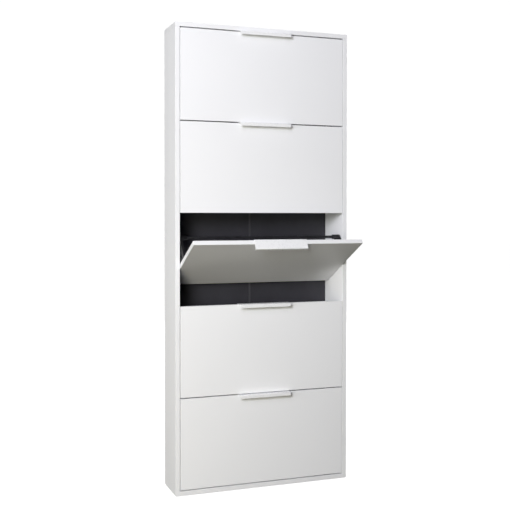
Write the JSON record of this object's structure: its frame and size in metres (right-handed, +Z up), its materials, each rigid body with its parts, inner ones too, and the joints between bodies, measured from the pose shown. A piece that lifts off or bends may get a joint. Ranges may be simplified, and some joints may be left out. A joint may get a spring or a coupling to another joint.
{
  "type": "shoe cabinet",
  "caption": "Tall slim shoe cabinet with tip-out flaps on side pivots, sheet-metal pulls and shoe trays held by rods, one flap standing open.",
  "frame": {"origin": "on the floor, at the middle of the carcass's footprint", "axes": "+X to the right, +Y to the back (the wall), +Z up"},
  "size_m": [0.68, 0.3277, 1.7],
  "materials": {
    "white_board": "white melamine on particle board, with edge bands",
    "dark_back": "anthracite lacquered hardboard, matt",
    "grey_plastic": "extruded joint strip",
    "white_steel": "white powder coat on bent steel sheet",
    "black_plastic": "moulded, finely textured",
    "black_steel": "black paint on steel tube",
    "steel": "zinc-plated steel",
    "zinc": "die-cast zinc",
    "white_plastic": "moulded nylon",
    "beech": "fluted beech dowel"
  },
  "bodies": {
    "cabinet": {"top_panel": "white_board", "bottom_panel": "white_board", "back_joint_strip": "grey_plastic", "floor_glides": "white_plastic", "cam_locks": "zinc", "cam_bolts": "steel", "dowels": "beech", "back_nails": "steel", "wall_brackets": "steel", "wall_bracket_screws": "steel", "side_panel_left": "white_board", "back_panel_left": "dark_back", "pivot_bushes_left": "white_plastic", "stop_pins_left": "steel", "side_panel_right": "white_board", "back_panel_right": "dark_back", "pivot_bushes_right": "white_plastic", "stop_pins_right": "steel"},
    "flap_1": {"flap_1_panel": "white_board", "flap_1_handle": "white_steel", "flap_1_bracket_left": "black_plastic", "flap_1_bracket_right": "black_plastic", "flap_1_retaining_rod": "black_steel", "flap_1_heel_rods": "black_steel", "flap_1_pivot_pins": "steel", "flap_1_screws": "steel"},
    "flap_2": {"flap_2_panel": "white_board", "flap_2_handle": "white_steel", "flap_2_bracket_left": "black_plastic", "flap_2_bracket_right": "black_plastic", "flap_2_retaining_rod": "black_steel", "flap_2_heel_rods": "black_steel", "flap_2_pivot_pins": "steel", "flap_2_screws": "steel"},
    "flap_3": {"flap_3_panel": "white_board", "flap_3_handle": "white_steel", "flap_3_bracket_left": "black_plastic", "flap_3_bracket_right": "black_plastic", "flap_3_retaining_rod": "black_steel", "flap_3_heel_rods": "black_steel", "flap_3_pivot_pins": "steel", "flap_3_screws": "steel"},
    "flap_4": {"flap_4_panel": "white_board", "flap_4_handle": "white_steel", "flap_4_bracket_left": "black_plastic", "flap_4_bracket_right": "black_plastic", "flap_4_retaining_rod": "black_steel", "flap_4_heel_rods": "black_steel", "flap_4_pivot_pins": "steel", "flap_4_screws": "steel"},
    "flap_5": {"flap_5_panel": "white_board", "flap_5_handle": "white_steel", "flap_5_bracket_left": "black_plastic", "flap_5_bracket_right": "black_plastic", "flap_5_retaining_rod": "black_steel", "flap_5_heel_rods": "black_steel", "flap_5_pivot_pins": "steel", "flap_5_screws": "steel"}
  },
  "joints": [
    {"name": "flap_1_tilt", "type": "hinge", "parent": "cabinet", "child": "flap_1", "pos_m": [0, -0.0695, 1.4906], "axis": [1, 0, 0], "range_deg": [0, 61.5]},
    {"name": "flap_2_tilt", "type": "hinge", "parent": "cabinet", "child": "flap_2", "pos_m": [0, -0.0695, 1.1582], "axis": [1, 0, 0], "range_deg": [0, 61.5]},
    {"name": "flap_3_tilt", "type": "hinge", "parent": "cabinet", "child": "flap_3", "pos_m": [0, -0.0695, 0.8258], "axis": [1, 0, 0], "range_deg": [-61.5, 0]},
    {"name": "flap_4_tilt", "type": "hinge", "parent": "cabinet", "child": "flap_4", "pos_m": [0, -0.0695, 0.4934], "axis": [1, 0, 0], "range_deg": [0, 61.5]},
    {"name": "flap_5_tilt", "type": "hinge", "parent": "cabinet", "child": "flap_5", "pos_m": [0, -0.0695, 0.161], "axis": [1, 0, 0], "range_deg": [0, 61.5]}
  ]
}
